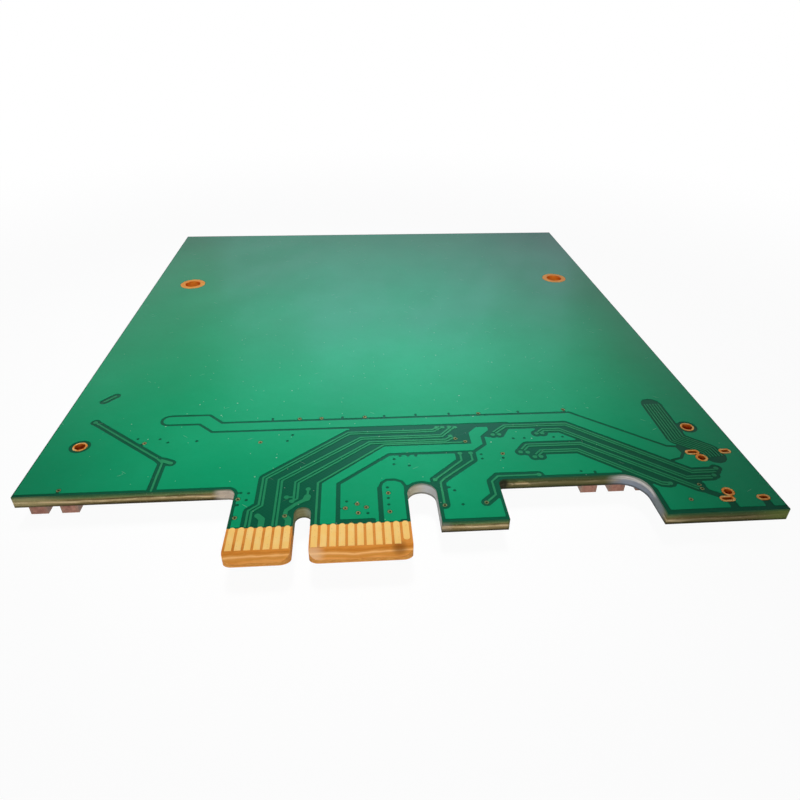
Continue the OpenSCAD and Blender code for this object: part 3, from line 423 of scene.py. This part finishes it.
def wall_corner_light_and_shade(look, colour, height, streaks):
    """Pale ragged patches of painted highlight on the curved walls where the cutter turned, and
    painted shade at the dark start of the recess.
    Each patch has a place, its reach, the softness of its edge and a tone."""
    ragged = look.ramp(streaks, 0.3, 0.5, 0.45, 1)
    arc_highlight_tone = look.blend(look.ramp(height, 0.5, 0.75), srgb(160, 168, 182), srgb(240, 234, 228))
    lobe_arc = (LOBE_LEFT - 0.6, FRONT_EDGE - 1.6, TOP - 0.6)
    lobe_side = (LOBE_LEFT, FRONT_EDGE - 5, TOP - 0.8)
    slot_top = (HOOK_LEFT - 1.9, FRONT_EDGE - 0.3, TOP - 0.6)
    slot_side = (HOOK_LEFT, FRONT_EDGE - 3.2, TOP - 0.6)
    key_top = (KEY_X - 0.5, CONTACT_ENDS + 6, TOP - 0.6)
    key_side = (KEY_X + 1, CONTACT_ENDS + 5.2, TOP - 0.6)
    tab_corner = (TAB_LEFT - 1, FRONT_EDGE - 0.3, TOP - 0.7)
    # Painted highlights on the curved walls
    for place, reach, soft, tone in (
        (lobe_arc, 2, 2.6, arc_highlight_tone),
        (lobe_side, 0.6, 1.6, srgb(150, 158, 160)),
        (slot_top, 1.9, 1.2, srgb(226, 212, 182)),
        (slot_side, 2.9, 1.2, srgb(238, 238, 240)),
        (key_top, 1, 1, srgb(182, 180, 134)),
        (key_side, 0.9, 0.8, srgb(196, 206, 184)),
        (tab_corner, 1.1, 1.2, srgb(232, 214, 196)),
    ):
        colour = look.blend(look.times(look.near(place, reach, soft), ragged), colour, tone)
    # Painted shade where the recess starts
    recess_start = (HOOK_RIGHT + 0.2, FRONT_EDGE, TOP - 0.8)
    return look.blend(look.times(look.near(recess_start, 0.9, 0.5), 0.85), colour, srgb(34, 36, 20))


def metal(name, base, worn, roughness, metallic, marks=(1, 1, 1), tarnish=None):
    """Plated metal with fine wiping marks and a cloudy tone, and pits where it has a tarnish colour."""
    look = Look(name)
    wipe = look.noise(6, 3, 0.6, look.spread(marks))
    cloud = look.noise(0.8, 3, 0.6)
    colour = look.blend(look.ramp(cloud, 0.35, 0.7, 0, 0.6), base, worn)
    colour = look.blend(look.ramp(wipe, 0.55, 0.8, 0, 0.3), colour, worn)
    if tarnish:
        pits = specks(look, 2.2, 0.16, 0.25)
        colour = look.blend(look.times(pits, 0.5), colour, tarnish)
    rough = look.ramp(wipe, 0.3, 0.75, roughness - 0.07, roughness + 0.1)
    return look.finish(Base_Color=colour, Roughness=rough, Metallic=metallic,
                       Normal=look.relief(wipe, 0.006))


def plated_hole(name, rim, worn, bore, depth, metallic):
    """Plated hole: a bright rim on the face, and a bore that darkens downwards with painted shade."""
    look = Look(name)
    flat = look.facing_up()
    cloud = look.noise(1.6, 3, 0.6)
    rim_tone = look.blend(look.ramp(cloud, 0.35, 0.65), rim, worn)
    pits = specks(look, 3, 0.2, 0.2)
    rim_tone = look.blend(look.times(pits, 0.5), rim_tone, bore)
    # Painted shade: the bore runs from the rim colour at the face to the bore colour at depth
    bore_shade_fade = look.ramp(look.z, TOP - depth, TOP + 0.02)
    bore_tone = look.blend(bore_shade_fade, bore, rim)
    rings = look.noise(3, 2, 0.6, look.spread((0.4, 0.4, 3)))
    bore_tone = look.blend(look.ramp(rings, 0.45, 0.75, 0, 0.4), bore_tone, rim)
    colour = look.blend(flat, bore_tone, rim_tone)
    return look.finish(Base_Color=colour, Roughness=look.ramp(cloud, 0.3, 0.7, 0.3, 0.46),
                       Metallic=look.mix_value(flat, 0.7, metallic), Specular_IOR_Level=PLATING_SPECULAR,
                       Normal=look.relief(look.noise(5, 3, 0.6), 0.012))


def moulding(name, base, light, roughness=0.55):
    """Moulded epoxy with a fine grain and a few pale specks."""
    look = Look(name)
    grain = look.noise(14, 3, 0.75)
    cloud = look.noise(0.35, 3, 0.5)
    colour = look.blend(look.ramp(cloud, 0.35, 0.7, 0, 0.5), base, light)
    colour = look.blend(look.ramp(grain, 0.6, 0.8, 0, 0.5), colour, light)
    colour = look.blend(look.times(specks(look, 1.2, 0.03, 0.2), 0.6), colour, srgb(150, 150, 146))
    rough = look.ramp(grain, 0.3, 0.7, roughness - 0.1, roughness + 0.12)
    return look.finish(Base_Color=colour, Roughness=rough, Normal=look.relief(grain, 0.015))


def ceramic(name, base, dark, light):
    """Sintered ceramic: cloudy, with a fine pitted grain."""
    look = Look(name)
    cloud = look.noise(1.3, 4, 0.6)
    colour = look.bands(cloud, (0.3, dark), (0.5, base), (0.72, light))
    grain = look.noise(9, 3, 0.7)
    colour = look.blend(look.ramp(grain, 0.58, 0.8, 0, 0.4), colour, light)
    rough = look.ramp(grain, 0.3, 0.7, 0.45, 0.65)
    return look.finish(Base_Color=colour, Roughness=rough, Normal=look.relief(grain, 0.01))


def finishes():
    """Each node's finish, by the node's name."""
    gold = metal("gold_contact", srgb(255, 206, 114), srgb(255, 216, 138), 0.44, 0.15, (2.4, 0.16, 1),
                 tarnish=srgb(226, 164, 76))
    # The third colour of each plated hole is its bore's colour deep in painted shade
    copper = plated_hole("plated_copper", srgb(255, 150, 48), srgb(255, 206, 130), srgb(156, 46, 6),
                         0.6, 0.3)
    rear = plated_hole("rear_ring", srgb(250, 150, 48), srgb(255, 180, 74), srgb(206, 104, 20), 1.2, 0.3)
    via = plated_hole("via_plating", srgb(104, 132, 84), srgb(152, 146, 100), srgb(84, 38, 12), 0.3, 0.2)
    tin = metal("tinned_lead", srgb(186, 186, 182), srgb(214, 213, 208), 0.34, 0.85)
    pad = metal("tinned_pad", srgb(176, 174, 166), srgb(206, 204, 196), 0.4, 0.8)
    lid = metal("crystal_metal", srgb(184, 182, 176), srgb(210, 208, 200), 0.3, 0.9, (0.3, 3, 1))
    field = masked_copper("masked_copper", srgb(5, 136, 89), srgb(8, 142, 94), srgb(14, 149, 101))
    trace = masked_copper("masked_trace", srgb(26, 118, 76), srgb(36, 130, 84), srgb(48, 140, 92), 0.3)
    brown = ceramic("brown_ceramic", srgb(168, 112, 92), srgb(140, 88, 70), srgb(196, 142, 120))
    brown_end = metal("brown_end", srgb(150, 108, 90), srgb(182, 140, 118), 0.45, 0.35)
    tan = ceramic("tan_ceramic", srgb(158, 122, 86), srgb(134, 100, 68), srgb(182, 146, 106))
    base = ceramic("crystal_ceramic", srgb(92, 86, 80), srgb(72, 68, 64), srgb(116, 108, 100))
    black = moulding("black_moulding", srgb(24, 24, 26), srgb(46, 46, 48))
    grey = moulding("grey_moulding", srgb(74, 74, 76), srgb(102, 102, 102), 0.6)
    amber = moulding("amber_moulding", srgb(214, 152, 52), srgb(232, 180, 88), 0.5)
    nodes_by_finish = (
        (board_core(), ["laminate"]),
        (field, ["solder_side_fields", "component_side_field"]),
        (trace, ["solder_side_traces"]),
        (gold, ["solder_side_contacts", "component_side_contacts", "connector_signal_pads"]),
        (pad, ["component_side_pads"]),
        (rear, ["rear_hole_barrels"]),
        (copper, ["front_hole_barrels", "shell_slot_barrels", "peg_hole_barrels"]),
        (via, ["via_barrels"]),
        (brown, ["edge_capacitors"]),
        (brown_end, ["edge_capacitor_ends"]),
        (tan, ["ceramic_capacitors"]),
        (base, ["crystal_base"]),
        (lid, ["crystal_lid"]),
        (grey, ["power_inductors"]),
        (amber, ["bulk_capacitors"]),
        (black, ["controller_body", "memory_body", "flash_body", "converter_bodies", "resistors",
                 "regulator_body", "protection_bodies"]),
        (tin, ["controller_leads", "memory_leads", "flash_leads", "converter_leads", "regulator_leads",
               "protection_leads", "inductor_terminals", "bulk_capacitor_terminals",
               "ceramic_capacitor_ends", "resistor_ends"]),
    )
    return {name: finish for finish, names in nodes_by_finish for name in names}


def dress_nodes():
    for name, material in finishes().items():
        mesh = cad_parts[name].data
        mesh.materials.clear()
        mesh.materials.append(material)


# ---- Stage, light and camera ----


def backdrop_rays(tree):
    """1 for a ray that shows the background: from the camera, off metal or through glass."""
    ray = tree.nodes.new("ShaderNodeLightPath")
    seen = ray.outputs["Is Camera Ray"]
    for name in ("Is Glossy Ray", "Is Transmission Ray"):
        either = tree.nodes.new("ShaderNodeMath")
        either.operation = "MAXIMUM"
        tree.links.new(seen, either.inputs[0])
        tree.links.new(ray.outputs[name], either.inputs[1])
        seen = either.outputs[0]
    return seen


def floor_material():
    """White paper that keeps a soft shadow near the board and is the white background beyond it."""
    material = bpy.data.materials.new("floor_paper")
    material.use_nodes = True
    tree = material.node_tree
    add = tree.nodes.new
    link = tree.links.new

    paper = tree.nodes["Principled BSDF"]
    paper.inputs["Roughness"].default_value = 0.9
    fibre = add("ShaderNodeTexNoise")
    fibre.inputs["Scale"].default_value = FIBRES_PER_M
    tone = add("ShaderNodeValToRGB")
    fill_ramp(tone, ((0, (0.84, 0.84, 0.84, 1)), (1, (0.9, 0.9, 0.9, 1))))
    link(fibre.outputs[0], tone.inputs[0])
    link(tone.outputs[0], paper.inputs["Base Color"])

    away = add("ShaderNodeVectorMath")
    away.operation = "LENGTH"
    link(add("ShaderNodeTexCoord").outputs["Object"], away.inputs[0])
    white_share = add("ShaderNodeMapRange")
    white_share.interpolation_type = "SMOOTHSTEP"
    link(away.outputs["Value"], white_share.inputs["Value"])
    near_m, far_m = SHADOW_END_M
    limits = {"From Min": near_m, "From Max": far_m, "To Min": SHADOW_FLOOR_SHARE, "To Max": 1}
    for name, number in limits.items():
        white_share.inputs[name].default_value = number
    share = add("ShaderNodeMath")
    share.operation = "MULTIPLY"
    link(backdrop_rays(tree), share.inputs[0])
    link(white_share.outputs[0], share.inputs[1])

    mix = add("ShaderNodeMixShader")
    link(share.outputs[0], mix.inputs[0])
    link(paper.outputs[0], mix.inputs[1])
    link(add("ShaderNodeEmission").outputs[0], mix.inputs[2])
    link(mix.outputs[0], tree.nodes["Material Output"].inputs[0])
    return material


def build_floor():
    mesh = bpy.data.meshes.new("floor")
    half = FLOOR_HALF_M
    corners = [(-half, -half, 0), (half, -half, 0), (half, half, 0), (-half, half, 0)]
    mesh.from_pydata(corners, [], [(0, 1, 2, 3)])
    floor = bpy.data.objects.new("floor", mesh)
    bpy.context.scene.collection.objects.link(floor)
    mesh.materials.append(floor_material())


def build_world():
    """A studio that the camera sees as white, and that is brightest at the horizon and dark overhead."""
    world = bpy.data.worlds.new("studio")
    bpy.context.scene.world = world
    world.use_nodes = True
    tree = world.node_tree
    add = tree.nodes.new
    link = tree.links.new
    split = add("ShaderNodeSeparateXYZ")
    link(add("ShaderNodeTexCoord").outputs["Generated"], split.inputs[0])
    dome = add("ShaderNodeValToRGB")
    link(split.outputs[2], dome.inputs[0])
    fill_ramp(dome, [(height, (*(level * tint for tint in DOME_TINT), 1)) for height, level in DOME_LEVELS])
    mix = add("ShaderNodeMix")
    mix.data_type = "RGBA"
    link(add("ShaderNodeLightPath").outputs["Is Camera Ray"], mix.inputs[0])
    link(dome.outputs[0], mix.inputs[6])
    mix.inputs[7].default_value = (1, 1, 1, 1)
    link(mix.outputs[2], tree.nodes["Background"].inputs[0])


def hang_lamp(lamp, place, aim):
    """Puts a lamp at a place and turns it to its aim, both in millimetres."""
    holder = bpy.data.objects.new(lamp.name, lamp)
    holder.location = Vector(place) * MM
    holder.rotation_euler = (Vector(aim) - Vector(place)).to_track_quat("-Z", "Y").to_euler()
    bpy.context.scene.collection.objects.link(holder)
    return holder


def build_softbox(name, place, aim, size, radiance, tint):
    """A rectangular lamp: place, aim and size in millimetres, with the radiance of its face."""
    lamp = bpy.data.lights.new(name, "AREA")
    lamp.shape = "RECTANGLE"
    lamp.size = size[0] * MM
    lamp.size_y = size[1] * MM
    lamp.energy = radiance * math.pi * lamp.size * lamp.size_y
    lamp.color = tint
    hang_lamp(lamp, place, aim)


def build_spot(name, place, aim, cone, level):
    """A soft-edged spotlight that gives a surface at its aim that share of a plain level.
    It leaves no glare on the glossy mask."""
    lamp = bpy.data.lights.new(name, "SPOT")
    lamp.spot_size = math.radians(cone)
    lamp.spot_blend = 1
    lamp.shadow_soft_size = SPOT_RADIUS * MM
    throw = (Vector(aim) - Vector(place)) * MM
    lamp.energy = level * 4 * math.pi ** 2 * throw.length_squared
    hang_lamp(lamp, place, aim).visible_glossy = False


def build_lamps():
    build_spot("board_spot", (-12, 8, 300), (-12, 8, 0), 30, 0.72)
    build_spot("tab_spot", (-3, -32, 300), (-3, -32, 0), 21, 0.6)
    build_softbox("rear_window", (35, 440, 240), (0, 0, 0), (180, 90), 0.6, WINDOW_TINT)
    build_softbox("rear_glow", (35, 450, 245), (0, 0, 0), (340, 190), 0.45, WINDOW_TINT)
    build_softbox("front_fill", (-30, -420, 190), (0, -52, 0), (600, 260), 1, WARM_TINT)


def build_camera():
    lens = bpy.data.cameras.new("camera")
    lens.lens = CAMERA_LENS
    lens.sensor_width = CAMERA_SENSOR
    lens.clip_start = 0.002
    lens.clip_end = 20
    camera = bpy.data.objects.new("camera", lens)
    camera.location = Vector(CAMERA_PLACE) * MM
    camera.rotation_euler = [math.radians(angle) for angle in CAMERA_TURN]
    bpy.context.scene.collection.objects.link(camera)
    bpy.context.scene.camera = camera


build_camera()
build_floor()
build_world()
build_lamps()
dress_nodes()

bpy.context.scene.view_settings.view_transform = "Standard"
